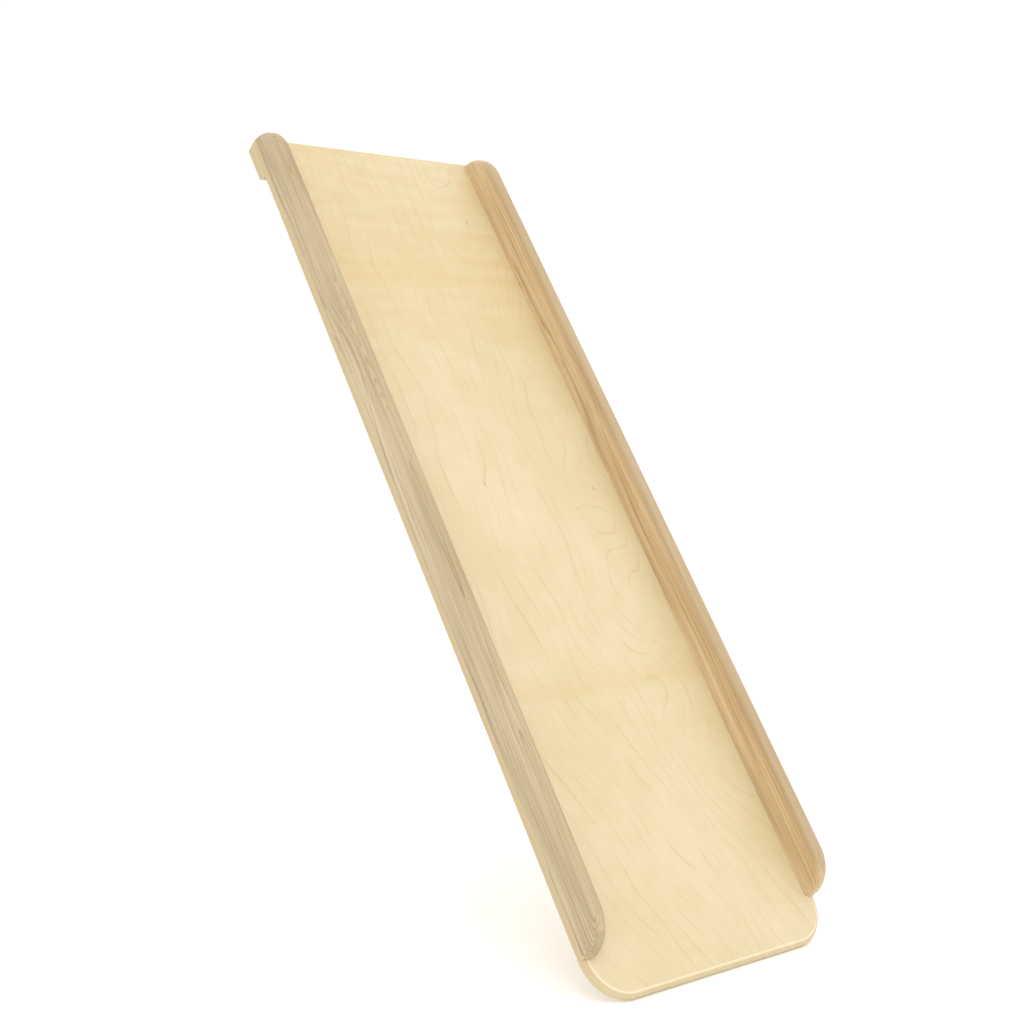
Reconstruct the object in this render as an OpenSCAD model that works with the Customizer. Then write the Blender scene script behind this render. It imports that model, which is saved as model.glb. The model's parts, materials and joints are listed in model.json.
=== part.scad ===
// Hook-on toddler slide: a plywood sliding board with two solid wood side rails and a hook cleat
// under its top end. It leans at its angle of use, with the foot edge on the floor at the origin,
// +X to the right of someone who faces up the slope, +Y level and up the slope, and +Z up.

/* [Sliding board] */
// Width of the board over its side edges
board_w = 400; // [320:5:480]
// Length of the board along the slope
board_l = 1310; // [900:5:1800]
// Thickness of the plywood
board_t = 12; // [11.5:0.5:18]
// Plan radius of the two corners at the foot
foot_corner_r = 57; // [30:1:90]
// Rounding of the upper edge round the foot
foot_edge_r = 8; // [2:0.5:8.5]
// Easing of the lower edge
lower_edge_r = 3; // [1:0.5:3.5]
// Slope of the board in use, from level
incline = 54.5; // [20:0.5:65]

/* [Side rails] */
// Thickness of a rail
rail_w = 18; // [15:1:30]
// Height of a rail above the sliding surface
rail_h = 48; // [30:1:70]
// Bare board left between the foot edge and the rails
rail_setback = 55; // [45:1:120]
// Rounding of a rail's long edges
rail_edge_r = 6; // [2:0.5:7]

/* [Hook cleat] */
// Length of the cleat along the slope
cleat_l = 65; // [40:1:90]
// Depth of the cleat below the board
cleat_t = 12; // [9:1:20]
// Rounding of the cleat's two long lower edges
cleat_edge_r = 9; // [2:0.5:9]

/* [Screws] */
// Screws that hold each rail
rail_screws = 6; // [3:1:8]
// Screws between the rails that hold the cleat
cleat_screws_n = 5; // [2:1:7]
// Diameter of a screw's shank
screw_d = 4; // [3:0.5:5]
// Diameter of a screw's countersunk head
screw_head_d = 8; // [7:0.5:10]
// Length of a rail screw
rail_screw_l = 40; // [30:1:50]
// Length of a short cleat screw
cleat_screw_l = 20; // [16:1:22]
// Length of a screw that ties the cleat to a rail
end_screw_l = 50; // [40:1:60]
// First rail screw, up from a rail's foot end
rail_screw_inset = 45; // [40:1:80]
// Last rail screw, down from the cleat
rail_screw_gap = 35; // [20:1:80]
// Outer cleat screws, in from the rails
cleat_screw_inset = 22; // [15:1:40]

/* [Hidden] */
$fn = 96;

// The slope frame: x across, y up the board from its foot edge, z = 0 on the sliding surface.
under_z = -board_t;
cleat_z = under_z - cleat_t;
head_r = rail_h + board_t;
rail_x = board_w / 2 - rail_w / 2;
cleat_y = board_l - cleat_l;
margin = 1;
lap_turn = 2;

// Screws stand on the slope's normal, with their heads a little below the wood.
head_sink = 0.4;
head_land = 0.4;
shank_clearance = 0.1;
tip_clearance = 0.5;
tip_l = 5;
tip_r = 0.4;
recess_l = 4.4;
recess_w = 0.9;
recess_depth = 1.5;
rail_screw_first = rail_setback + rail_screw_inset;
rail_screw_last = cleat_y - rail_screw_gap;
rail_screw_step = (rail_screw_last - rail_screw_first) / (rail_screws - 1);
cleat_screw_y = board_l - cleat_l / 2;
cleat_screw_span = board_w - 2 * rail_w - 2 * cleat_screw_inset;
cleat_screw_step = cleat_screw_span / (cleat_screws_n - 1);

// The lower round of the foot edge touches the floor at the origin.
contact_y = lower_edge_r * cos(incline) - (under_z + lower_edge_r) * sin(incline);
contact_z = lower_edge_r * sin(incline) + (under_z + lower_edge_r) * cos(incline) - lower_edge_r;

// Puts what is modelled in the slope frame where it stands in use
module in_use()
{
    translate([0, -contact_y, -contact_z])
        rotate([incline, 0, 0])
            children();
}

// Lays a flat outline of (y, z) points in the side view and gives it a width along x
module side_extrude(width)
{
    rotate([90, 0, 90])
        linear_extrude(height = width, center = true)
            children();
}

// Section through a board edge that ends at x = 0, depth deep, with its upper and lower rounds
module edge_section(depth, top_r, low_r)
{
    difference()
    {
        translate([-depth, under_z])
            square([depth, board_t]);
        if (top_r > 0)
            corner_waste(0, 0, top_r, 1, 1);
        if (low_r > 0)
            corner_waste(0, under_z, low_r, 1, -1);
    }
}

// What a rounding of radius r takes off a corner that points towards (sx, sy)
module corner_waste(x, y, r, sx, sy)
{
    difference()
    {
        translate([sx > 0 ? x - r : x - margin, sy > 0 ? y - r : y - margin])
            square(r + margin);
        translate([x - sx * r, y - sy * r])
            circle(r);
    }
}

// The curve that the board and the rails share at the top end
module head_cut(width)
{
    side_extrude(width)
        union()
        {
            translate([-margin, under_z - head_r])
                square([board_l - head_r + margin, 2 * head_r + rail_h]);
            translate([board_l - head_r, under_z])
                circle(head_r);
        }
}

// What rounds the board's two outer corners at the top end in line with the rails
module head_corners()
{
    for (side = [0, 1])
        mirror([side, 0, 0])
            translate([0, board_l - head_r, under_z])
                rotate([0, 90, 0])
                    rotate([0, 0, 90 - lap_turn])
                        rotate_extrude(angle = 90)
                            corner_waste(head_r, board_w / 2, rail_edge_r, 1, 1);
}

// One screw: its head faces down at z = 0 and its tip is at z = length
module screw(length)
{
    head_h = (screw_head_d - screw_d) / 2;
    difference()
    {
        union()
        {
            cylinder(h = head_land, d = screw_head_d);
            translate([0, 0, head_land])
                cylinder(h = head_h, d1 = screw_head_d, d2 = screw_d);
            translate([0, 0, head_land + head_h])
                cylinder(h = length - tip_l - head_land - head_h, d = screw_d);
            translate([0, 0, length - tip_l])
                cylinder(h = tip_l, r1 = screw_d / 2, r2 = tip_r);
        }
        for (turn = [0, 90])
            rotate([0, 0, turn])
                translate([-recess_l / 2, -recess_w / 2, -margin])
                    cube([recess_l, recess_w, recess_depth + margin]);
    }
}

// The countersunk clearance hole that a screw head sits in
module countersunk_hole(depth)
{
    head_h = (screw_head_d - screw_d) / 2;
    translate([0, 0, -head_sink - margin])
        cylinder(h = head_sink + head_land + margin, d = screw_head_d);
    translate([0, 0, head_land])
        cylinder(h = head_h, d1 = screw_head_d, d2 = screw_d);
    plain_hole(0, depth);
}

// A straight hole for a shank, from z = from to z = to
module plain_hole(from, to)
{
    translate([0, 0, from])
        cylinder(h = to - from, d = screw_d + 2 * shank_clearance);
}

// Repeats a screw or its hole along one rail, side = -1 on the left and 1 on the right
module along_rail(side)
{
    for (i = [0 : rail_screws - 1])
        translate([side * rail_x, rail_screw_first + i * rail_screw_step, under_z + head_sink])
            children();
}

// Repeats a screw or its hole across the cleat, between the rails
module across_cleat()
{
    for (i = [0 : cleat_screws_n - 1])
        translate([-cleat_screw_span / 2 + i * cleat_screw_step, cleat_screw_y, cleat_z + head_sink])
            children();
}

// Repeats a screw or its hole at the two ends of the cleat, below the rails
module cleat_ends()
{
    for (side = [-1, 1])
        translate([side * rail_x, cleat_screw_y, cleat_z + head_sink])
            children();
}

// The board before drilling: a flat field, a rounded foot and straight sides, which are left
// square underneath where the cleat sits flush
module board_blank()
{
    field_w = board_w - 2 * foot_corner_r;
    corner_x = board_w / 2 - foot_corner_r;
    translate([-corner_x, foot_corner_r, under_z])
        cube([field_w, board_l - foot_corner_r, board_t]);
    translate([-corner_x, 0, 0])
        rotate([90, 0, 90])
            linear_extrude(height = field_w)
                mirror([1, 0])
                    edge_section(foot_corner_r, foot_edge_r, lower_edge_r);
    for (side = [0, 1])
        mirror([side, 0, 0])
        {
            translate([corner_x, foot_corner_r, 0])
                rotate([0, 0, -90])
                    rotate_extrude(angle = 90)
                        translate([foot_corner_r, 0])
                            edge_section(foot_corner_r, foot_edge_r, lower_edge_r);
            translate([board_w / 2, cleat_y, 0])
                rotate([90, 0, 0])
                    linear_extrude(height = cleat_y - foot_corner_r)
                        edge_section(foot_corner_r, 0, lower_edge_r);
            translate([board_w / 2, board_l, 0])
                rotate([90, 0, 0])
                    linear_extrude(height = cleat_l)
                        edge_section(foot_corner_r, 0, 0);
        }
}

module slide_board()
{
    color("#EDDCB1")
        in_use()
            difference()
            {
                intersection()
                {
                    board_blank();
                    head_cut(board_w + 2 * margin);
                }
                head_corners();
                for (side = [-1, 1])
                    along_rail(side)
                        countersunk_hole(board_t);
                across_cleat()
                    plain_hole(cleat_t - head_sink - margin, cleat_screw_l + tip_clearance);
                cleat_ends()
                    plain_hole(cleat_t - head_sink - margin, cleat_t + board_t);
            }
}

// Section of a rail: reach from its foot line to its top, with both top edges rounded
module rail_section(reach)
{
    difference()
    {
        translate([0, -rail_w / 2])
            square([reach, rail_w]);
        corner_waste(reach, rail_w / 2, rail_edge_r, 1, 1);
        corner_waste(reach, -rail_w / 2, rail_edge_r, 1, -1);
    }
}

// A quarter turn of the rail's section about an axis along x
module rail_quarter(reach, start)
{
    rotate([0, 90, 0])
        rotate([0, 0, start])
            rotate_extrude(angle = 90)
                rail_section(reach);
}

// A rail on the sliding surface: rounded foot end, straight run and rounded head end
module rail(side)
{
    run_start = rail_setback + rail_h;
    run_end = board_l - head_r;
    translate([side * rail_x, 0, 0])
        difference()
        {
            union()
            {
                translate([0, run_start, 0])
                    rail_quarter(rail_h, 180);
                translate([0, run_end, 0])
                    rotate([-90, 0, 0])
                        rotate([0, 0, -90])
                            translate([0, 0, run_start - run_end])
                                linear_extrude(height = run_end - run_start)
                                    rail_section(rail_h);
                difference()
                {
                    translate([0, run_end, under_z])
                        rail_quarter(head_r, 90);
                    translate([-rail_w, run_end - margin, under_z - margin])
                        cube([2 * rail_w, head_r + 2 * margin, board_t + margin]);
                }
            }
            translate([-side * rail_x, 0, 0])
                along_rail(side)
                    plain_hole(board_t - head_sink - margin, rail_screw_l + tip_clearance);
            translate([-side * rail_x, 0, 0])
                cleat_ends()
                    plain_hole(cleat_t + board_t - head_sink - margin, end_screw_l + tip_clearance);
        }
}

module left_rail()
{
    color("#CBB48F")
        in_use()
            rail(-1);
}

module right_rail()
{
    color("#C8A87C")
        in_use()
            rail(1);
}

// The cleat across the underside, with rounded lower long edges and upper corners
module hook_cleat()
{
    color("#DCC79B")
        in_use()
            difference()
            {
                side_extrude(board_w)
                    difference()
                    {
                        translate([cleat_y, cleat_z])
                            square([cleat_l, cleat_t]);
                        corner_waste(board_l, cleat_z, cleat_edge_r, 1, -1);
                        corner_waste(cleat_y, cleat_z, cleat_edge_r, -1, -1);
                    }
                for (side = [-1, 1])
                    translate([0, 0, cleat_z - margin])
                        linear_extrude(height = cleat_t + 2 * margin)
                            corner_waste(side * board_w / 2, board_l, rail_edge_r, side, 1);
                across_cleat()
                    countersunk_hole(cleat_t);
                cleat_ends()
                    countersunk_hole(cleat_t);
            }
}

module left_rail_screws()
{
    color("silver")
        in_use()
            along_rail(-1)
                screw(rail_screw_l);
}

module right_rail_screws()
{
    color("silver")
        in_use()
            along_rail(1)
                screw(rail_screw_l);
}

module cleat_screws()
{
    color("silver")
        in_use()
            across_cleat()
                screw(cleat_screw_l);
}

module cleat_end_screws()
{
    color("silver")
        in_use()
            cleat_ends()
                screw(end_screw_l);
}

slide_board();
left_rail();
right_rail();
hook_cleat();
left_rail_screws();
right_rail_screws();
cleat_screws();
cleat_end_screws();
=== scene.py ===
# %% [markdown]
# # A hook-on toddler slide, finished in Blender
#
# The slide is a plywood board with a solid ash rail along each side and a cleat under its top
# end that hooks over a rung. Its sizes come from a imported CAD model, which is loaded as a fixed
# frame. This lesson models each wooden piece and each kind of screw again at exactly those sizes,
# with the softened edges that a joiner gives them, and then makes their finishes from nodes.

# %% Load the frame
import json
import math

import bpy
from mathutils import Matrix, Vector


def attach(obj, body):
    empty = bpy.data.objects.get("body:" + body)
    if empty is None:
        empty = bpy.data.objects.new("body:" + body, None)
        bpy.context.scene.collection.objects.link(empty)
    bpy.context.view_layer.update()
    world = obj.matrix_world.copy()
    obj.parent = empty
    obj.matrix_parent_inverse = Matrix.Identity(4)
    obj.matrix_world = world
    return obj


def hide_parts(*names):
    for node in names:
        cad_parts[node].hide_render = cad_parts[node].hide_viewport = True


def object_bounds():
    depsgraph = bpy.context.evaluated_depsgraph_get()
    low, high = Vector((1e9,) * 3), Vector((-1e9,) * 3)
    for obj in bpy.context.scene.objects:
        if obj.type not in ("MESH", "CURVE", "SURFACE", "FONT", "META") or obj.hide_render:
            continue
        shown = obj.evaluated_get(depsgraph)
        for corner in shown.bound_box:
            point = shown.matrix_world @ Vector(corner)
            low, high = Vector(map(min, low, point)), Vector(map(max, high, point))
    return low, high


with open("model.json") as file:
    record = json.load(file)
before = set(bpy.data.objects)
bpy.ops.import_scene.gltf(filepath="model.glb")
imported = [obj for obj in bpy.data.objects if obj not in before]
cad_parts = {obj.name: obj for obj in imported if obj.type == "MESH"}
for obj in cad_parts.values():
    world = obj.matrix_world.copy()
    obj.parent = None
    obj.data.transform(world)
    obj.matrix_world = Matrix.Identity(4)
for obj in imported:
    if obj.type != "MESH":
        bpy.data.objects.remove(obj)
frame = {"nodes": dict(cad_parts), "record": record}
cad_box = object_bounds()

print("CAD nodes:", sorted(frame["nodes"]))

# %% [markdown]
# ## Working along the slope
#
# The slide stands at an angle, which would make every cut a slanted one. A joiner works on it
# flat on the bench, and so does this lesson. In the slope frame x runs across the board, y runs
# up it from the foot edge, and z = 0 is the sliding surface. The angle is read from the stop that
# the record declares on the cleat, because that face is square to the board.

# %% The slope frame
MM = 0.001
stop = next(m for m in frame["record"]["mounts"] if m["name"] == "cleat_stop")
incline = math.atan2(-stop["axis"][2], -stop["axis"][1])
turn = Matrix.Rotation(incline, 4, "X")


def box_along_slope(node, origin=Vector((0, 0, 0))):
    """Lowest and highest corner of a CAD node, measured along and square to the slope."""
    flat = turn.inverted()
    points = [flat @ v.co - origin for v in frame["nodes"][node].data.vertices]
    low = Vector([min(p[i] for p in points) for i in range(3)])
    high = Vector([max(p[i] for p in points) for i in range(3)])
    return low, high


board_low, board_high = box_along_slope("slide_board")
foot = Vector((0, board_low.y, board_high.z))
slope = turn @ Matrix.Translation(foot)
print(f"incline {math.degrees(incline):.1f} degrees, foot edge at {slope.translation[:]}")

# %% Sizes of the pieces
board_low, board_high = box_along_slope("slide_board", foot)
board_w = board_high.x - board_low.x
board_l = board_high.y
board_t = -board_low.z
rail_low, rail_high = box_along_slope("left_rail", foot)
rail_w = rail_high.x - rail_low.x
rail_h = rail_high.z
rail_start = rail_low.y
left_x = (rail_low.x + rail_high.x) / 2
cleat_low, cleat_high = box_along_slope("hook_cleat", foot)
cleat_t = cleat_high.z - cleat_low.z
print(f"board {board_w:.3f} x {board_l:.3f} x {board_t:.3f} m, rails {rail_w:.3f} x {rail_h:.3f} m")

# %% [markdown]
# ## Small tools for the bench
#
# Every wooden piece starts as a block of stock at its full size. Edges to shape are picked by
# where they lie, so the tools below select them in code: nothing depends on what was selected
# before, and the print shows how many edges each cut took.

# %% Blocks and edges
TINY = 0.01 * MM


def block(name, low, high):
    """A block of stock between two corners, alone in the selection."""
    bpy.ops.object.select_all(action="DESELECT")
    middle = (Vector(low) + Vector(high)) / 2
    bpy.ops.mesh.primitive_cube_add(size=1, location=middle, scale=Vector(high) - Vector(low))
    piece = bpy.context.object
    piece.name = name
    bpy.ops.object.transform_apply(location=True, rotation=True, scale=True)
    return piece


def pick_edges(piece, wanted):
    """Leaves edit mode on, with the edges selected whose two ends pass the test."""
    bpy.ops.object.mode_set(mode="EDIT")
    bpy.ops.mesh.select_mode(type="EDGE")
    bpy.ops.mesh.select_all(action="DESELECT")
    bpy.ops.object.mode_set(mode="OBJECT")
    points = piece.data.vertices
    for edge in piece.data.edges:
        edge.select = wanted(*(points[i].co for i in edge.vertices))
    print(f"  {piece.name}: {sum(edge.select for edge in piece.data.edges)} edges picked")
    bpy.ops.object.mode_set(mode="EDIT")


def both(a, b, axis, value):
    """True if both ends of an edge lie at a value along an axis."""
    return abs(a[axis] - value) < TINY and abs(b[axis] - value) < TINY


# %% Cuts and finishing
def round_over(radius, segments):
    """Rounds the picked edges to a radius, as a router bit does."""
    bpy.ops.mesh.bevel(offset=radius, segments=segments, profile=0.5, clamp_overlap=False)
    bpy.ops.object.mode_set(mode="OBJECT")


def saw(point, normal, keep_above=False):
    """Cuts across the whole piece. With keep_above, what lies behind the cut is thrown away."""
    bpy.ops.object.mode_set(mode="EDIT")
    bpy.ops.mesh.select_all(action="SELECT")
    bpy.ops.mesh.bisect(
        plane_co=point, plane_no=normal, clear_inner=keep_above, use_fill=keep_above, threshold=TINY
    )
    bpy.ops.object.mode_set(mode="OBJECT")


def merge_flats(piece):
    """Takes out the lines that helping cuts have left across flat faces."""
    bpy.ops.object.mode_set(mode="EDIT")
    bpy.ops.mesh.select_all(action="SELECT")
    bpy.ops.mesh.dissolve_limited(angle_limit=math.radians(0.1))
    bpy.ops.object.mode_set(mode="OBJECT")


def apply_modifier(piece, kind, **settings):
    """Adds one modifier, sets it up and applies it."""
    bpy.context.view_layer.objects.active = piece
    modifier = piece.modifiers.new(kind.title(), kind)
    for key, value in settings.items():
        setattr(modifier, key, value)
    bpy.ops.object.modifier_apply(modifier=modifier.name)


def ease(piece, radius):
    """Takes the sharpness off every arris that is left, as sanding does."""
    apply_modifier(
        piece, "BEVEL", width=radius, segments=2, limit_method="ANGLE", angle_limit=math.radians(50)
    )


def smooth_finish(piece, angle=30):
    """Smooth rounds between flat faces that stay flat."""
    bpy.ops.object.select_all(action="DESELECT")
    piece.select_set(True)
    bpy.context.view_layer.objects.active = piece
    bpy.ops.object.shade_smooth_by_angle(angle=math.radians(angle))
    apply_modifier(piece, "WEIGHTED_NORMAL", keep_sharp=True)


# %% [markdown]
# ## Where the screws go
#
# The wood is held from below, so that nothing shows on the sliding side. The CAD nodes hold whole
# rows of screws, and the ends of a node's box give the first and the last one. The places are
# needed before the wood is shaped, because each screw sits in a countersunk hole.

# %% Screw rows
RAIL_SCREWS = 6
CLEAT_SCREWS = 5
END_SCREWS = 2


def screw_row(node, count, axis):
    """Points where the screws of a row have their heads, and the screws' length."""
    low, high = box_along_slope(node, foot)
    other = 1 - axis
    head_radius = (high[other] - low[other]) / 2
    first = (low + high) / 2
    first.z = low.z
    first[axis] = low[axis] + head_radius
    step = (high[axis] - low[axis] - 2 * head_radius) / (count - 1)
    places = []
    for i in range(count):
        place = first.copy()
        place[axis] += i * step
        places.append(place)
    return places, high.z - low.z, head_radius


left_places, rail_screw_l, head_r = screw_row("left_rail_screws", RAIL_SCREWS, 1)
right_places, _, _ = screw_row("right_rail_screws", RAIL_SCREWS, 1)
cleat_places, cleat_screw_l, _ = screw_row("cleat_screws", CLEAT_SCREWS, 0)
end_places, end_screw_l, _ = screw_row("cleat_end_screws", END_SCREWS, 0)
print(f"screws {rail_screw_l / MM:.0f}, {cleat_screw_l / MM:.0f} and {end_screw_l / MM:.0f} mm long")

# %% [markdown]
# A countersunk hole is a straight mouth, a cone for the head and a clearance hole for the shank.
# It could be bored into each piece on its own. Here one cutter is turned for each length of
# screw, set at every place and joined into one set of bits, and each piece of wood is then drilled
# with the whole set, so that the holes line up through the stack as they do on the bench.

# %% Turning round shapes
HEAD_LAND = 0.4 * MM
HEAD_SINK = 0.4 * MM
SHANK_R = 2 * MM
CLEARANCE = 0.1 * MM
cone_top = HEAD_LAND + head_r - SHANK_R


def pick_top_face(piece):
    """Leaves edit mode on, with only the face selected that closes the piece's upper end."""
    bpy.ops.object.mode_set(mode="EDIT")
    bpy.ops.mesh.select_mode(type="FACE")
    bpy.ops.mesh.select_all(action="DESELECT")
    bpy.ops.object.mode_set(mode="OBJECT")
    top = max(piece.data.polygons, key=lambda face: face.center.z)
    top.select = True
    bpy.ops.object.mode_set(mode="EDIT")


def turned(name, sides, steps):
    """A round piece on the z axis. Each step is a height and the radius there, from below."""
    (low, radius), (height, _) = steps[:2]
    bpy.ops.object.select_all(action="DESELECT")
    bpy.ops.mesh.primitive_cylinder_add(
        vertices=sides, radius=radius, depth=height - low, location=(0, 0, (low + height) / 2)
    )
    piece = bpy.context.object
    piece.name = name
    bpy.ops.object.transform_apply(location=True, rotation=True, scale=True)
    pick_top_face(piece)
    for next_height, next_radius in steps[2:]:
        rise = (0, 0, next_height - height)
        bpy.ops.mesh.extrude_region_move(TRANSFORM_OT_translate={"value": rise})
        share = next_radius / radius
        bpy.ops.transform.resize(value=(share, share, 1), center_override=(0, 0, next_height))
        height, radius = next_height, next_radius
    bpy.ops.object.mode_set(mode="OBJECT")
    return piece


# %% Rows of copies
def set_row(model, places, name, twist=0.0):
    """A copy of a model at each place, each with its own mesh, joined into one object."""
    bpy.ops.object.select_all(action="DESELECT")
    for i, place in enumerate(places):
        copy = model.copy()
        copy.data = model.data.copy()
        copy.location = place
        copy.rotation_euler.z = i * twist
        bpy.context.collection.objects.link(copy)
        copy.select_set(True)
        bpy.context.view_layer.objects.active = copy
    bpy.ops.object.join()
    row = bpy.context.object
    row.name = name
    bpy.ops.object.transform_apply(location=True, rotation=True, scale=True)
    print(f"  {name}: {len(places)} copies, {len(row.data.polygons)} faces")
    return row


def joined(parts, name):
    """Several objects made into one."""
    bpy.ops.object.select_all(action="DESELECT")
    for part in parts:
        part.select_set(True)
    bpy.context.view_layer.objects.active = parts[0]
    bpy.ops.object.join()
    parts[0].name = name
    return parts[0]


# %% The set of bits
HOLE_SIDES = 32


def bit(length):
    """The waste of one countersunk hole, with the screw's head at z = 0."""
    mouth = head_r + CLEARANCE
    bore = SHANK_R + CLEARANCE
    above = -2 * HEAD_SINK
    steps = [(above, mouth), (HEAD_LAND, mouth), (cone_top, bore), (length, bore)]
    return turned("bit", HOLE_SIDES, steps)


rows = [
    (left_places + right_places, rail_screw_l),
    (cleat_places, cleat_screw_l),
    (end_places, end_screw_l),
]
bits = []
for places, length in rows:
    one_bit = bit(length)
    bits.append(set_row(one_bit, places, f"bits_{length / MM:.0f}"))
    bpy.data.objects.remove(one_bit)
drill = joined(bits, "drill")


def drill_holes(piece):
    """Bores every screw hole that reaches a piece."""
    apply_modifier(piece, "BOOLEAN", object=drill, operation="DIFFERENCE", solver="EXACT")
    print(f"  {piece.name}: {len(piece.data.polygons)} faces after drilling")


# %% [markdown]
# ## The corners at the head
#
# The rails' rounding runs on over the two outer corners of the head, down through the board and
# the cleat. Bevels would have to cross other rounds there, which leaves untidy faces, so what a
# joiner would sand away is made instead: a block outside each corner, less a cylinder of the
# corner's radius. The board and the cleat are both cut with it.

# %% What comes off the head's corners
HEAD_CORNER_R = 6 * MM
CORNER_SIDES = 32
SPARE = 10 * MM


def waste_outside(side):
    """What comes off one corner of the head, side = -1 on the left and 1 on the right."""
    centre = Vector((side * (board_w / 2 - HEAD_CORNER_R), board_l - HEAD_CORNER_R, 0))
    outer = side * (board_w / 2 + SPARE)
    low = (min(centre.x, outer), centre.y, cleat_low.z - SPARE)
    high = (max(centre.x, outer), board_l + SPARE, SPARE)
    waste = block("waste", low, high)
    bpy.ops.object.select_all(action="DESELECT")
    bpy.ops.mesh.primitive_cylinder_add(
        vertices=CORNER_SIDES, radius=HEAD_CORNER_R, depth=8 * SPARE, location=centre
    )
    core = bpy.context.object
    apply_modifier(waste, "BOOLEAN", object=core, operation="DIFFERENCE", solver="EXACT")
    bpy.data.objects.remove(core)
    return waste


corner_waste = joined([waste_outside(-1), waste_outside(1)], "corner_waste")


def round_head_corners(piece):
    """Takes the waste off the two outer corners at a piece's upper end."""
    apply_modifier(piece, "BOOLEAN", object=corner_waste, operation="DIFFERENCE", solver="EXACT")
    print(f"  {piece.name}: {len(piece.data.polygons)} faces after its head corners")


# %% [markdown]
# ## The sliding board
#
# On the real slide this is a sheet of birch plywood. The foot is cut with two large round corners
# and its upper edge is rounded over, because a child lands there, while the sides stay square on
# top so that the rails sit flush. The lower edge is eased as far as the cleat, which lies flush
# with the board's sides. It could be drawn as a flat outline and extruded, but a router's order is
# easier to follow: first the corners, then the upper edge, then the lower edge. Each round ends at
# two helping cuts, so that it runs out within half a millimetre.

# %% Cut the board to shape
FOOT_CORNER_R = 57 * MM
FOOT_EDGE_R = 8 * MM
LOWER_EDGE_R = 3 * MM
RUN_OUT = 0.5 * MM
EASING = 0.5 * MM
head_arc_r = rail_h + board_t

board = block("birch_board", (-board_w / 2, 0, -board_t), (board_w / 2, board_l, 0))

# The top end follows the same arc as the rails, so its upper arris steps back a little.
step_back = head_arc_r - math.sqrt(head_arc_r**2 - board_t**2)
pick_edges(board, lambda a, b: both(a, b, 1, board_l) and both(a, b, 2, 0))
bpy.ops.transform.translate(value=(0, -step_back, 0))
bpy.ops.object.mode_set(mode="OBJECT")

pick_edges(board, lambda a, b: both(a, b, 1, 0) and abs(a.x - b.x) < TINY)
round_over(FOOT_CORNER_R, 28)

# %% Round over its edges
lower_end = cleat_low.y - RUN_OUT
for y in (FOOT_CORNER_R, FOOT_CORNER_R + RUN_OUT, lower_end, cleat_low.y):
    saw((0, y, 0), (0, 1, 0))


def is_crosswise(a, b):
    """True for an edge that runs from side to side above the foot."""
    return abs(a.y - b.y) < TINY and abs(a.x - b.x) > board_w / 2 and a.y > TINY


pick_edges(
    board,
    lambda a, b: both(a, b, 2, 0)
    and max(a.y, b.y) < FOOT_CORNER_R + TINY
    and not is_crosswise(a, b),
)
round_over(FOOT_EDGE_R, 10)
pick_edges(
    board,
    lambda a, b: both(a, b, 2, -board_t)
    and max(a.y, b.y) < lower_end + TINY
    and not is_crosswise(a, b),
)
round_over(LOWER_EDGE_R, 5)
merge_flats(board)
round_head_corners(board)
ease(board, EASING)
drill_holes(board)
smooth_finish(board)

# %% [markdown]
# ## The side rails
#
# Each rail is a straight length of solid ash that stands on the board. Its foot end is a quarter
# round as tall as the rail, and its head end is part of a larger arc about the board's underside,
# so that rail, board and cleat end in one curve. Both upper arrises are rounded all the way along.
# A profile could be swept along a path, but bevels on a block leave the same faces as the tools
# do. The block is cut deeper than the rail first, because the head's arc starts below the board.

# %% Shape a rail
RAIL_EDGE_R = 6 * MM


def make_rail(name, middle):
    """A rail whose thickness is centred on x = middle."""
    below = -board_t - SPARE
    piece = block(name, (middle - rail_w / 2, rail_start, below), (middle + rail_w / 2, board_l, rail_h))
    pick_edges(piece, lambda a, b: both(a, b, 1, rail_start) and both(a, b, 2, rail_h))
    round_over(rail_h, 28)
    pick_edges(piece, lambda a, b: both(a, b, 1, board_l) and both(a, b, 2, rail_h))
    round_over(head_arc_r, 32)
    saw((0, 0, 0), (0, 0, 1), keep_above=True)
    sides = (middle - rail_w / 2, middle + rail_w / 2)
    pick_edges(
        piece,
        lambda a, b: any(both(a, b, 0, x) for x in sides) and not both(a, b, 2, 0),
    )
    round_over(RAIL_EDGE_R, 8)
    ease(piece, EASING)
    drill_holes(piece)
    smooth_finish(piece)
    return piece


left_rail = make_rail("ash_rail_left", left_x)
right_rail = make_rail("ash_rail_right", -left_x)

# %% [markdown]
# ## The hook cleat
#
# The cleat is a strip of plywood across the underside of the top end. It is what keeps the slide
# on a rung, and its two lower long edges are rounded so that it slips over one. Two bevels on a
# block are enough, and the holes then go right through it.

# %% Shape the cleat
CLEAT_EDGE_R = 9 * MM

cleat = block("hook_cleat_ply", cleat_low, cleat_high)
pick_edges(cleat, lambda a, b: both(a, b, 2, cleat_low.z) and abs(a.y - b.y) < TINY)
round_over(CLEAT_EDGE_R, 12)
round_head_corners(cleat)
ease(cleat, EASING)
drill_holes(cleat)
smooth_finish(cleat)
bpy.data.objects.remove(drill)
bpy.data.objects.remove(corner_waste)

# %% [markdown]
# ## The screws
#
# A countersunk wood screw is turned in steps: the land round the head, the cone, a plain shank and
# a thinner core that ends in a point. The thread is a small triangle swept up the core by a Screw
# modifier, which is how a helix is made without drawing it. The cross recess is cut last.

# %% Make one screw
SCREW_SIDES = 28
CORE_R = 1.35 * MM
TIP_L = 5 * MM
TIP_R = 0.2 * MM
PITCH = 1.8 * MM
THREAD_R = 0.55 * MM
THREAD_STEPS = 14
RECESS_L = 4.4 * MM
RECESS_W = 0.9 * MM
RECESS_DEPTH = 1.5 * MM


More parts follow.
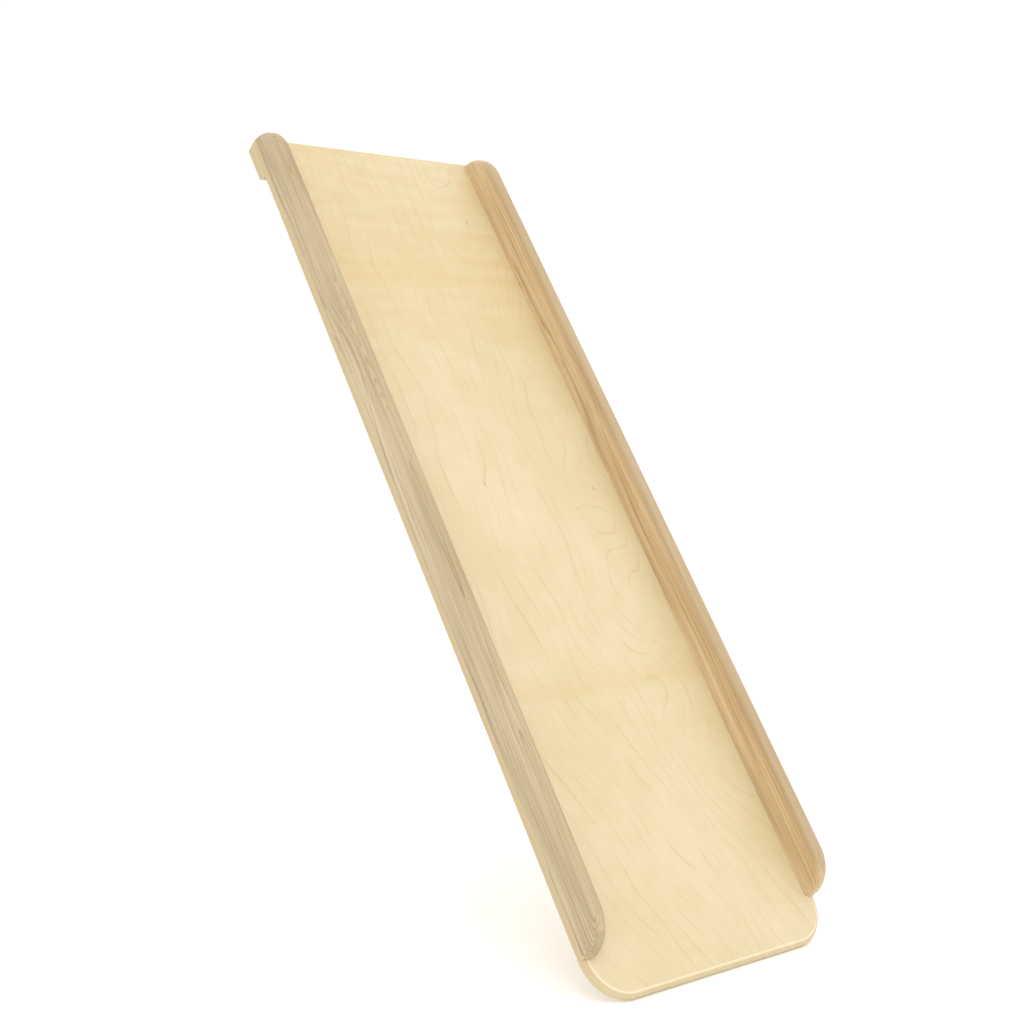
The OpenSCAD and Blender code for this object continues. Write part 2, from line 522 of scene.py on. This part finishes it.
def thread(start, end):
    """A closed ridge that winds up the core from one height to another."""
    bpy.ops.object.select_all(action="DESELECT")
    quarter = math.pi / 2
    bpy.ops.mesh.primitive_circle_add(
        vertices=3, radius=THREAD_R, rotation=(quarter, quarter, 0),
        location=(SHANK_R - THREAD_R, 0, start),
    )
    ridge = bpy.context.object
    bpy.ops.object.transform_apply(location=True, rotation=True, scale=True)
    turns = int((end - start) / PITCH)
    apply_modifier(
        ridge, "SCREW", axis="Z", screw_offset=PITCH, iterations=turns,
        steps=THREAD_STEPS, render_steps=THREAD_STEPS,
    )
    bpy.ops.object.mode_set(mode="EDIT")
    bpy.ops.mesh.select_all(action="SELECT")
    bpy.ops.mesh.fill_holes(sides=3)
    bpy.ops.mesh.select_all(action="SELECT")
    bpy.ops.mesh.normals_make_consistent(inside=False)
    bpy.ops.object.mode_set(mode="OBJECT")
    return ridge


def wood_screw(length):
    """A screw whose head faces down at z = 0."""
    plain = cone_top + 0.3 * (length - TIP_L - cone_top)
    point = length - TIP_L
    steps = [(0, head_r), (HEAD_LAND, head_r), (cone_top, SHANK_R), (plain, SHANK_R)]
    steps += [(plain + SHANK_R - CORE_R, CORE_R), (point, CORE_R), (length, TIP_R)]
    screw = turned("screw", SCREW_SIDES, steps)
    for along, across in ((RECESS_L, RECESS_W), (RECESS_W, RECESS_L)):
        slot = block("slot", (-along / 2, -across / 2, -MM), (along / 2, across / 2, RECESS_DEPTH))
        apply_modifier(screw, "BOOLEAN", object=slot, operation="DIFFERENCE", solver="EXACT")
        bpy.data.objects.remove(slot)
    return joined([screw, thread(plain, point)], f"screw_{length / MM:.0f}")


# %% Set the rows of screws
TWIST = 0.7
screw_models = {length: wood_screw(length) for length in (rail_screw_l, cleat_screw_l, end_screw_l)}
screw_rows = {
    "left_rail_screws": set_row(screw_models[rail_screw_l], left_places, "screws_left_rail", TWIST),
    "right_rail_screws": set_row(screw_models[rail_screw_l], right_places, "screws_right_rail", TWIST),
    "cleat_screws": set_row(screw_models[cleat_screw_l], cleat_places, "screws_cleat", TWIST),
    "cleat_end_screws": set_row(screw_models[end_screw_l], end_places, "screws_cleat_ends", TWIST),
}
for model in screw_models.values():
    bpy.data.objects.remove(model)
for row in screw_rows.values():
    smooth_finish(row)

# %% [markdown]
# ## Tools for finishes
#
# A wood finish is mostly arithmetic on a point's place, so the node helpers below are few: one
# feeds a socket with a value or a link, and the others add a node and give back its output.
# Every pattern is measured in millimetres along the slope, which keeps its numbers readable.

# %% Node helpers
def feed(tree, socket, value):
    """Links an output to a socket, or sets the socket's own value."""
    if isinstance(value, bpy.types.NodeSocket):
        tree.links.new(value, socket)
    else:
        socket.default_value = value


def calc(tree, operation, *values, clamp=False):
    """One Math node."""
    node = tree.nodes.new("ShaderNodeMath")
    node.operation = operation
    node.use_clamp = clamp
    for socket, value in zip(node.inputs, values):
        feed(tree, socket, value)
    return node.outputs[0]


def spread(tree, value, low, high, to_low=0.0, to_high=1.0):
    """A smooth step from one value to another."""
    node = tree.nodes.new("ShaderNodeMapRange")
    node.interpolation_type = "SMOOTHSTEP"
    for socket, amount in zip(node.inputs, (value, low, high, to_low, to_high)):
        feed(tree, socket, amount)
    return node.outputs[0]


def stretch(tree, vector, per_mm, shift=(0, 0, 0)):
    """The place, scaled by its own amount along each axis."""
    node = tree.nodes.new("ShaderNodeMapping")
    feed(tree, node.inputs["Vector"], vector)
    node.inputs["Scale"].default_value = per_mm
    node.inputs["Location"].default_value = shift
    return node.outputs[0]


def noise(tree, vector, per_mm, detail=2.0, shift=(0, 0, 0), strength=1.0):
    """Noise about zero, as far as half its strength to either side."""
    node = tree.nodes.new("ShaderNodeTexNoise")
    feed(tree, node.inputs["Vector"], stretch(tree, vector, per_mm, shift))
    node.inputs["Scale"].default_value = 1.0
    node.inputs["Detail"].default_value = detail
    centred = calc(tree, "SUBTRACT", node.outputs[0], 0.5)
    return calc(tree, "MULTIPLY", centred, strength)


def total(tree, *values):
    """The sum of several values."""
    result = values[0]
    for value in values[1:]:
        result = calc(tree, "ADD", result, value)
    return result


def axes(tree, vector):
    """The x, y and z of a place."""
    node = tree.nodes.new("ShaderNodeSeparateXYZ")
    feed(tree, node.inputs[0], vector)
    return node.outputs


def mix(tree, factor, first, second, kind="MIX"):
    """One colour laid over another."""
    node = tree.nodes.new("ShaderNodeMix")
    node.data_type = "RGBA"
    node.blend_type = kind
    feed(tree, node.inputs["Factor"], factor)
    feed(tree, node.inputs[6], first)
    feed(tree, node.inputs[7], second)
    return node.outputs[2]


def colour(code):
    """A colour as it looks on a screen, written as six hex digits, for a shader."""
    shares = [int(code[i : i + 2], 16) / 255 for i in (0, 2, 4)]
    linear = [s / 12.92 if s <= 0.04045 else ((s + 0.055) / 1.055) ** 2.4 for s in shares]
    return (*linear, 1.0)


# %% Groups and materials
SOCKETS = {"vector": "NodeSocketVector", "float": "NodeSocketFloat", "color": "NodeSocketColor"}


def new_group(name, inputs, outputs):
    """A node group with named sockets. It gives back its tree, its inputs and its output node."""
    tree = bpy.data.node_groups.new(name, "ShaderNodeTree")
    for label, kind in inputs.items():
        tree.interface.new_socket(name=label, in_out="INPUT", socket_type=SOCKETS[kind])
    for label in outputs:
        tree.interface.new_socket(name=label, in_out="OUTPUT", socket_type=SOCKETS["float"])
    return tree, tree.nodes.new("NodeGroupInput").outputs, tree.nodes.new("NodeGroupOutput").inputs


def use_group(tree, group, **values):
    """A group placed in a material, with its inputs given by name."""
    node = tree.nodes.new("ShaderNodeGroup")
    node.node_tree = group
    for label, value in values.items():
        feed(tree, node.inputs[label.replace("_", " ").title()], value)
    return node.outputs


def new_material(name):
    """A material. It gives back its tree, its Principled shader and the place along the slope."""
    material = bpy.data.materials.new(name)
    material.use_nodes = True
    tree = material.node_tree
    shader = tree.nodes["Principled BSDF"]
    place = tree.nodes.new("ShaderNodeTexCoord").outputs["Object"]
    mapping = tree.nodes.new("ShaderNodeMapping")
    tree.links.new(place, mapping.inputs["Vector"])
    mapping.inputs["Scale"].default_value = (1 / MM,) * 3
    mapping.inputs["Rotation"].default_value = (-incline, 0, 0)
    mapping.inputs["Location"].default_value = -foot / MM
    return material, tree, shader, mapping.outputs[0]


# %% [markdown]
# ## Rotary-cut birch
#
# Birch veneer is peeled from a turning log, so the knife runs along the growth rings and crosses
# them only where the log is not quite round. The rings then show as thin contour lines that wander
# up the sheet, close into loops and bend round pin knots. A wave texture makes them too even. Here
# a slowly changing height is worked out for each place, and a line is drawn wherever that height
# passes a whole number, which is just how contour lines on a map come about. Towards the head the
# grain also curls, which shows as soft ripples from side to side, and a fine fleck covers it all.

# %% Birch figure
def pin_knot(tree, x, y, at, size):
    """A soft spot, 1 in the middle of a knot and 0 past its size."""
    across = calc(tree, "SUBTRACT", x, at[0])
    along = calc(tree, "MULTIPLY", calc(tree, "SUBTRACT", y, at[1]), 0.62)
    square = calc(tree, "ADD", calc(tree, "POWER", calc(tree, "ABSOLUTE", across), 2.0),
                  calc(tree, "POWER", calc(tree, "ABSOLUTE", along), 2.0))
    return spread(tree, calc(tree, "SQRT", square), size, 0.0)


KNOTS = [(142, 688), (-50, 702), (133, 1183)]

figure, given, give = new_group(
    "Birch Figure", {"Vector": "vector", "Line Spacing": "float"},
    ["Lines", "Fine Lines", "Knots", "Tone", "Fleck", "Ripple"],
)
x, y, _ = axes(figure, given["Vector"])
lean = spread(figure, y, -250, 560, 0, 190)
loop_zone = calc(figure, "MULTIPLY", spread(figure, x, 30, 150), spread(figure, y, 60, 380))
loops = calc(
    figure, "MULTIPLY", loop_zone,
    noise(figure, given["Vector"], (0.007, 0.0050, 0), 1.0, (3.1, 0.6, 0), 300),
)
height = total(
    figure, x, lean, loops,
    noise(figure, given["Vector"], (0.009, 0.0042, 0), 1.0, (0.4, 2.2, 0), 90),
    noise(figure, given["Vector"], (0.022, 0.010, 0), 1.0, (7.7, 1.3, 0), 14),
    noise(figure, given["Vector"], (0.25, 0.06, 0), 1.0, (2.0, 5.0, 0), 0.6),
)
spots = [pin_knot(figure, x, y, at, 34) for at in KNOTS]
height = total(figure, height, calc(figure, "MULTIPLY", total(figure, *spots), 12))
count = calc(figure, "DIVIDE", height, given["Line Spacing"])
share = calc(figure, "FRACT", count)
uneven = noise(figure, given["Vector"], (0.03, 0.009, 0), 2.0, (1.0, 9.0, 0), 3.4)
boldness = calc(figure, "ADD", uneven, 0.55, clamp=True)
feed(figure, give["Lines"], calc(figure, "MULTIPLY", calc(figure, "POWER", share, 9.0), boldness))
fine_share = calc(figure, "FRACT", calc(figure, "MULTIPLY", count, 3.0))
feed(figure, give["Fine Lines"], calc(figure, "POWER", fine_share, 5.0))
feed(figure, give["Knots"], total(figure, *[pin_knot(figure, x, y, at, 4.2) for at in KNOTS]))
feed(figure, give["Tone"], total(
    figure,
    noise(figure, given["Vector"], (0.006, 0.004, 0), 2.0, (5.0, 0.0, 0), 1.0),
    noise(figure, given["Vector"], (0.03, 0.018, 0), 3.0, (0.0, 4.0, 0), 0.6),
))
curl = noise(figure, given["Vector"], (0.013, 0.055, 0), 1.5, (0, 2.0, 0), 2.0)
curly = spread(figure, y, 820, 1010, 0.25, 1.0)
ripple = calc(figure, "ADD", curl, 0.25, clamp=True)
feed(figure, give["Ripple"], calc(figure, "MULTIPLY", ripple, curly))
feed(figure, give["Fleck"], noise(figure, given["Vector"], (0.85, 0.13, 0.85), 4.0, (0, 0, 0), 1.0))
print("group:", figure.name)

# %% [markdown]
# Peeled veneer also carries bands across the sheet, from steaming and from the press. They differ
# from sheet to sheet, so they are listed one by one: a colour ramp up the board holds one stop for each
# change of tone, given as its place in millimetres and its lightness, and a little noise keeps
# each band from being ruled.

# %% Bands across the sheet
BANDS = [(0, 1.0), (372, 1.0), (386, 0.42), (400, 0.66), (424, 1.0), (938, 1.0), (948, 0.72),
         (1040, 0.66), (1064, 0.12), (1078, 0.6), (1098, 0.30), (1116, 0.72), (1146, 0.45),
         (1162, 0.86), (1310, 0.80)]


def band_tone(tree, vector):
    """1 on the clear sheet and less in its darker bands."""
    _, y, _ = axes(tree, vector)
    wavy = total(tree, y, noise(tree, vector, (0.02, 0.004, 0), 2.0, (8.0, 8.0, 0), 26))
    node = tree.nodes.new("ShaderNodeValToRGB")
    feed(tree, node.inputs[0], calc(tree, "DIVIDE", wavy, board_l / MM))
    stops = node.color_ramp.elements
    stops.remove(stops[1])
    for i, (at, tone) in enumerate(BANDS):
        stop = stops[0] if i == 0 else stops.new(at * MM / board_l)
        stop.color = (tone, tone, tone, 1)
    return node.outputs[0]


# %% [markdown]
# ## Plywood layers
#
# Where an edge is cut, plywood shows its layers: long ones and darker cross ones, with thin glue
# lines between them, and all of them are browner than the sheet's two faces. The layers are flat
# sheets at fixed heights, so the group only needs the height through the sheet, and tells how far
# a point lies inside it. On a rounded edge the layers come out as contours.

# %% Layers through the sheet
layers, given, give = new_group(
    "Ply Layers", {"Height": "float", "Thickness": "float", "Count": "float"},
    ["Cross", "Glue", "Inner"],
)
inside = calc(layers, "MULTIPLY", calc(layers, "DIVIDE", given["Height"], given["Thickness"]), 0.998)
level = calc(layers, "MULTIPLY", calc(layers, "ADD", inside, 0.001), given["Count"])
within = calc(layers, "FRACT", level)
odd = calc(layers, "MODULO", calc(layers, "FLOOR", level), 2.0)
feed(layers, give["Cross"], odd)
veneer = calc(layers, "DIVIDE", 0.5, given["Count"])
depth = calc(layers, "SUBTRACT", 0.5, calc(layers, "ABSOLUTE", calc(layers, "SUBTRACT", inside, 0.5)))
feed(layers, give["Inner"], spread(layers, depth, calc(layers, "MULTIPLY", veneer, 0.4), veneer))
from_middle = calc(layers, "ABSOLUTE", calc(layers, "SUBTRACT", within, 0.5))
feed(layers, give["Glue"], spread(layers, from_middle, 0.42, 0.5))
print("group:", layers.name)

# %% [markdown]
# ## Satin lacquer
#
# Every wooden piece has the same clear satin coat. Its sheen changes a little from place to place
# where it was rubbed down and where hands and socks have polished it, and the raised grain under
# it catches the light. Both are shared by all the woods, so they are one group.

# %% Lacquer group
lacquer, given, give = new_group(
    "Satin Lacquer", {"Vector": "vector", "Grain": "float", "Dullness": "float"},
    ["Roughness", "Height"],
)
rubbed = noise(lacquer, given["Vector"], (0.012, 0.004, 0.012), 3.0, (0, 0, 0), 0.16)
scuffs = noise(lacquer, given["Vector"], (0.9, 0.05, 0.9), 3.0, (4.0, 0, 0), 0.10)
dull = total(lacquer, given["Dullness"], rubbed, scuffs, calc(lacquer, "MULTIPLY", given["Grain"], 0.08))
feed(lacquer, give["Roughness"], dull)
peel = noise(lacquer, given["Vector"], (0.35, 0.35, 0.35), 2.0, (0, 0, 0), 0.25)
feed(lacquer, give["Height"], calc(lacquer, "SUBTRACT", peel, given["Grain"]))
print("group:", lacquer.name)


def set_finish(tree, shader, vector, base, grain, dullness, depth):
    """Joins a colour and a grain to a shader, under the shared lacquer."""
    coat = use_group(tree, lacquer, vector=vector, grain=grain, dullness=dullness)
    bump = tree.nodes.new("ShaderNodeBump")
    bump.inputs["Strength"].default_value = 0.5
    bump.inputs["Distance"].default_value = depth
    tree.links.new(coat["Height"], bump.inputs["Height"])
    tree.links.new(bump.outputs[0], shader.inputs["Normal"])
    tree.links.new(base, shader.inputs["Base Color"])
    tree.links.new(coat["Roughness"], shader.inputs["Roughness"])
    shader.inputs["Specular IOR Level"].default_value = 0.35
    shader.inputs["Coat Weight"].default_value = 0.08
    shader.inputs["Coat Roughness"].default_value = 0.35


# %% [markdown]
# ## Lacquered plywood
#
# The two face veneers are different sheets, so the figure is shifted on the lower one. Its marks
# are laid over the plain colour one after another: lines, ripples, fleck, bands and knots. The cut
# edge is browner along the sides than round the foot, as painted shade, and a painted highlight
# runs pale where the foot's upper face turns down. Each of these is a short function, and plywood
# puts them together.

# %% The face veneers
UNDER_SHIFT = (-190, -420, 0)
LINE_SPACING = 21.0
LINE_STRENGTH = 0.50


def tint(tree, base, mask, strength, code):
    """A colour laid over another where a mask allows it."""
    return mix(tree, calc(tree, "MULTIPLY", mask, strength), base, colour(code))


def veneer_marks(tree, place, below):
    """The figure at a place. Where below is 1, it is taken from another part of the sheet."""
    shifted = tree.nodes.new("ShaderNodeVectorMath")
    shifted.operation = "MULTIPLY_ADD"
    for socket, value in zip(shifted.inputs, (below, UNDER_SHIFT, place)):
        feed(tree, socket, value)
    return use_group(tree, figure, vector=shifted.outputs[0], line_spacing=LINE_SPACING)


def veneer_face(tree, place, marks, pale, deep):
    """The colour of a face, with its marks laid on from the ground up."""
    tone = calc(tree, "ADD", marks["Tone"], 0.5, clamp=True)
    face = mix(tree, tone, colour(deep), colour(pale))
    face = tint(tree, face, marks["Lines"], LINE_STRENGTH, "C8AB77")
    face = tint(tree, face, marks["Fine Lines"], 0.11, "CFB27E")
    face = tint(tree, face, marks["Ripple"], 0.45, "D3B37C")
    fleck = calc(tree, "ADD", calc(tree, "MULTIPLY", marks["Fleck"], 1.6), 0.5, clamp=True)
    face = tint(tree, face, fleck, 0.22, "CDB27E")
    face = tint(tree, face, calc(tree, "SUBTRACT", 1.0, band_tone(tree, place)), 0.50, "D9BA84")
    return tint(tree, face, marks["Knots"], 0.42, "A8854F")


# %% The cut edge
def cut_edge(tree, place, y, ply, face, edge):
    """The face's colour, browner and streaked inside the sheet, and browner on the sides as painted
    shade.
    """
    # Painted shade: the side edges get far more of the brown edge colour than the foot's edge.
    sides = spread(tree, y, -10, 90, 0.1, 0.95)
    base = mix(tree, calc(tree, "MULTIPLY", ply["Inner"], sides), face, colour(edge))
    streaks = noise(tree, place, (0.9, 0.045, 1.6), 3.0, (0, 0, 0), 1.2)
    streaks = calc(tree, "MULTIPLY", calc(tree, "ADD", streaks, 0.5, clamp=True), ply["Inner"])
    base = tint(tree, base, streaks, 0.35, "A98F66")
    base = tint(tree, base, calc(tree, "MULTIPLY", ply["Cross"], ply["Inner"]), 0.14, "A98F66")
    return tint(tree, base, ply["Glue"], 0.10, "A07F50")


def painted_arris_highlight(tree, y, depth, base):
    """A painted highlight: a pale line where the foot's upper face turns down into its rounded edge."""
    # Painted highlight along the foot's upper arris, laid on as colour.
    line = calc(tree, "SUBTRACT", spread(tree, depth, 0.03, 0.12), spread(tree, depth, 0.45, 0.8))
    return tint(tree, base, calc(tree, "MULTIPLY", line, spread(tree, y, 80, 50)), 0.30, "FBF3DC")


# %% Plywood from these parts
PLY_COUNT = 9
PLY_DULLNESS = 0.46
PLY_GRAIN_DEPTH = 0.15 * MM


def plywood(name, top, thickness, pale, deep, edge):
    """Plywood whose sheet lies between z = top - thickness and z = top, in millimetres."""
    material, tree, shader, place = new_material(name)
    _, y, z = axes(tree, place)
    marks = veneer_marks(tree, place, calc(tree, "LESS_THAN", z, top - thickness / 2))
    ply = use_group(tree, layers, height=calc(tree, "SUBTRACT", z, top - thickness),
                    thickness=thickness, count=float(PLY_COUNT))
    base = cut_edge(tree, place, y, ply, veneer_face(tree, place, marks, pale, deep), edge)
    # Painted highlight: a pale line along the foot's upper arris.
    base = painted_arris_highlight(tree, y, calc(tree, "SUBTRACT", top, z), base)
    lines = calc(tree, "MULTIPLY", marks["Lines"], LINE_STRENGTH)
    grain = total(tree, calc(tree, "MULTIPLY", marks["Fleck"], 0.6), lines)
    set_finish(tree, shader, place, base, grain, PLY_DULLNESS, PLY_GRAIN_DEPTH)
    return material


birch = plywood("birch_plywood_lacquered", 0.0, board_t / MM, "E8DCB9", "D6C69B", "C9B48A")
cleat_ply = plywood(
    "cleat_plywood_lacquered", cleat_high.z / MM, cleat_t / MM, "E2D4B0", "D6C499", "C8B78F"
)

# %% [markdown]
# ## Solid ash
#
# Ash is sawn, not peeled, so its rings are real layers through the piece: on a face they run as
# streaks, they crowd where the cut is square to them and open into a wandering line where it just
# grazes one, and they turn round the shaped ends. To have all of that on every face at once, the
# rings are worked out as distances from the middle of the tree, which lies beside the rail. The
# top of a rail is painted darker and greyer, as painted shade.

# %% Ash grain
ash, given, give = new_group(
    "Ash Grain",
    {"Vector": "vector", "Heart Across": "float", "Heart Height": "float", "Ring Width": "float",
     "Swirl Place": "float", "Swirl Height": "float"},
    ["Rings", "Fibre", "Pores", "Tone"],
)
x, y, z = axes(ash, given["Vector"])
from_swirl = calc(ash, "DIVIDE", calc(ash, "SUBTRACT", y, given["Swirl Place"]), 85.0)
swirl = calc(ash, "EXPONENT", calc(ash, "MULTIPLY", calc(ash, "MULTIPLY", from_swirl, from_swirl), -1.0))
heart = total(
    ash, given["Heart Height"], calc(ash, "MULTIPLY", swirl, given["Swirl Height"]),
    noise(ash, given["Vector"], (0, 0.0042, 0), 2.0, (0, 3.0, 0), 16),
)
across = calc(ash, "SUBTRACT", x, given["Heart Across"])
above = calc(ash, "SUBTRACT", z, heart)
reach = calc(ash, "SQRT", calc(ash, "ADD", calc(ash, "MULTIPLY", across, across),
                               calc(ash, "MULTIPLY", above, above)))
reach = total(
    ash, reach,
    noise(ash, given["Vector"], (0.02, 0.0035, 0.02), 2.0, (2.0, 0, 0), 2.4),
    noise(ash, given["Vector"], (0.25, 0.012, 0.25), 2.0, (0, 6.0, 0), 0.9),
)
share = calc(ash, "FRACT", calc(ash, "DIVIDE", reach, given["Ring Width"]))
early = calc(ash, "POWER", calc(ash, "SUBTRACT", 1.0, share), 5.0)
late = spread(ash, share, 0.97, 1.0)
patchy = calc(ash, "ADD", noise(ash, given["Vector"], (0.05, 0.006, 0.05), 2.0, (0, 0, 5.0), 3.2), 0.50,
              clamp=True)
feed(ash, give["Rings"], calc(ash, "MULTIPLY", calc(ash, "MAXIMUM", early, late), patchy))
feed(ash, give["Fibre"], noise(ash, given["Vector"], (1.1, 0.022, 1.1), 4.0, (0, 0, 0), 1.0))
pores = spread(ash, noise(ash, given["Vector"], (4.5, 0.16, 4.5), 2.0, (0, 1.0, 0), 1.0), 0.10, 0.22)
feed(ash, give["Pores"], calc(ash, "MULTIPLY", pores, calc(ash, "ADD", early, 0.25, clamp=True)))
feed(ash, give["Tone"], total(
    ash,
    noise(ash, given["Vector"], (0.035, 0.0035, 0.035), 2.0, (6.0, 0, 0), 1.2),
    noise(ash, given["Vector"], (0.24, 0.0055, 0.24), 2.5, (0, 0, 2.0), 1.5),
))
print("group:", ash.name)


# %% Lacquered ash
RING_WIDTH = 2.6
ASH_DULLNESS = 0.48
ASH_GRAIN_DEPTH = 0.2 * MM


def solid_ash(
    name, heart_across, heart_height, swirl_place, swirl_height, pale, deep, streak, painted_top_shade
):
    """A rail's own length of ash. Its heart is the middle of the tree, in millimetres."""
    material, tree, shader, place = new_material(name)
    wood = use_group(
        tree, ash, vector=place, heart_across=heart_across, heart_height=heart_height,
        ring_width=RING_WIDTH, swirl_place=swirl_place, swirl_height=swirl_height,
    )
    base = mix(tree, calc(tree, "ADD", wood["Tone"], 0.5, clamp=True), colour(deep), colour(pale))
    base = tint(tree, base, wood["Rings"], 0.78, streak)
    height = axes(tree, place)[2]
    # Painted shade: the rail's top is made darker and greyer by this amount.
    base = tint(tree, base, spread(tree, height, 32, 46), painted_top_shade, "A08A68")
    base = tint(tree, base, calc(tree, "ADD", wood["Fibre"], 0.35, clamp=True), 0.35, streak)
    base = tint(tree, base, wood["Pores"], 0.5, "94744C")
    grain = total(tree, calc(tree, "MULTIPLY", wood["Fibre"], 0.5), wood["Pores"])
    set_finish(tree, shader, place, base, grain, ASH_DULLNESS, ASH_GRAIN_DEPTH)
    return material


left_ash = solid_ash(
    "ash_left_lacquered", heart_across=-140.8, heart_height=-6.0, swirl_place=890.0,
    swirl_height=22.0, pale="D6C4A1", deep="B19A74", streak="846C48", painted_top_shade=0.08,
)
# The right rail's ash is lighter and warmer than the left's: partly its own board, partly painted warm
# bounce light from the board.
right_ash = solid_ash(
    "ash_right_lacquered", heart_across=122.0, heart_height=2.0, swirl_place=860.0,
    swirl_height=18.0, pale="E8D1AC", deep="CBAC80", streak="987950", painted_top_shade=0.50,
)

# %% [markdown]
# ## Zinc-plated screws
#
# The screws are plain steel with bright zinc on it. The plating is not a mirror: it is slightly
# cloudy, and the driver leaves fine scratches round the recess. A metal's colour is in its
# reflection, so the base colour carries the plating's faint warmth and clouding.

# %% Zinc
zinc, tree, shader, place = new_material("zinc_plated_steel")
cloud = calc(tree, "ADD", noise(tree, place, (0.5, 0.5, 0.5), 3.0, (0, 0, 0), 1.0), 0.5, clamp=True)
scratch = noise(tree, place, (6.0, 1.2, 6.0), 2.0, (0, 0, 0), 0.3)
tree.links.new(mix(tree, cloud, colour("B9B4A6"), colour("D5D2C8")), shader.inputs["Base Color"])
shader.inputs["Metallic"].default_value = 1.0
tree.links.new(calc(tree, "ADD", calc(tree, "MULTIPLY", cloud, 0.12), calc(tree, "ADD", scratch, 0.26)),
               shader.inputs["Roughness"])

# %% [markdown]
# ## Onto the slope
#
# The pieces are finished flat, so they are now tilted together into place. The tilt is applied to
# their meshes, which leaves every object at the origin, and each piece then stands for its CAD
# node and rides on the part's one body: nothing on this slide moves.

# %% Hand the pieces over
def hand_over(piece, material, node):
    """Tilts a piece, gives it its finish and lets it stand for its CAD node."""
    piece.data.materials.clear()
    piece.data.materials.append(material)
    piece.matrix_world = slope
    bpy.ops.object.select_all(action="DESELECT")
    piece.select_set(True)
    bpy.context.view_layer.objects.active = piece
    bpy.ops.object.transform_apply(location=True, rotation=True, scale=True)
    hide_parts(node)
    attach(piece, "root")
    print(f"  {piece.name} stands for {node}: {len(piece.data.polygons)} faces")


hand_over(board, birch, "slide_board")
hand_over(left_rail, left_ash, "left_rail")
hand_over(right_rail, right_ash, "right_rail")
hand_over(cleat, cleat_ply, "hook_cleat")
for node, row in screw_rows.items():
    hand_over(row, zinc, node)

# %% [markdown]
# ## Studio
#
# The slide is shown on a plain pale floor in even light, as in a catalogue. A bright surround
# does most of the work and fills the shadows, and one large soft box from the front left gives
# the rails their shape. The floor is pale enough to merge with the surround.

# %% Floor and light
bpy.ops.object.select_all(action="DESELECT")
bpy.ops.mesh.primitive_plane_add(size=60)
floor = bpy.context.object
floor.name = "studio_floor"
paper = bpy.data.materials.new("floor_paper")
paper.use_nodes = True
paper_shader = paper.node_tree.nodes["Principled BSDF"]
paper_shader.inputs["Base Color"].default_value = (0.95, 0.95, 0.95, 1)
paper_shader.inputs["Roughness"].default_value = 0.9
paper_shader.inputs["Specular IOR Level"].default_value = 0.1
paper_shader.inputs["Emission Color"].default_value = (1, 1, 1, 1)
paper_shader.inputs["Emission Strength"].default_value = 0.08
floor.data.materials.append(paper)

world = bpy.data.worlds.new("studio")
bpy.context.scene.world = world
world.use_nodes = True
world.node_tree.nodes["Background"].inputs["Color"].default_value = (1, 1, 1, 1)
world.node_tree.nodes["Background"].inputs["Strength"].default_value = 1.12


def soft_box(name, place, aim, size, power):
    """A square area light that faces a point."""
    light = bpy.data.lights.new(name, "AREA")
    light.size = size
    light.energy = power
    lamp = bpy.data.objects.new(name, light)
    bpy.context.collection.objects.link(lamp)
    lamp.location = place
    lamp.rotation_euler = (Vector(aim) - Vector(place)).to_track_quat("-Z", "Y").to_euler()


middle = (cad_box[0] + cad_box[1]) / 2
soft_box("key", (-1.8, -2.4, 3.4), middle, 2.5, 40)

# %% [markdown]
# ## Camera
#
# The camera stands low and to the left of the foot, about two metres off, and looks almost level
# up the slope. Its place is measured from the foot, and its heading, dip and roll are angles, so
# that each can be read and changed on its own.

# %% Camera
camera = bpy.data.objects.new("camera", bpy.data.cameras.new("camera"))
bpy.context.collection.objects.link(camera)
camera.data.lens = 55.44
camera.location = (-1.3692, -1.2897, 0.6649)
heading, dip, roll = 38.998, 3.388, 0.121
camera.rotation_euler = (math.radians(90 - dip), math.radians(-roll), math.radians(-heading))
bpy.context.scene.camera = camera
bpy.context.scene.view_settings.view_transform = "Standard"
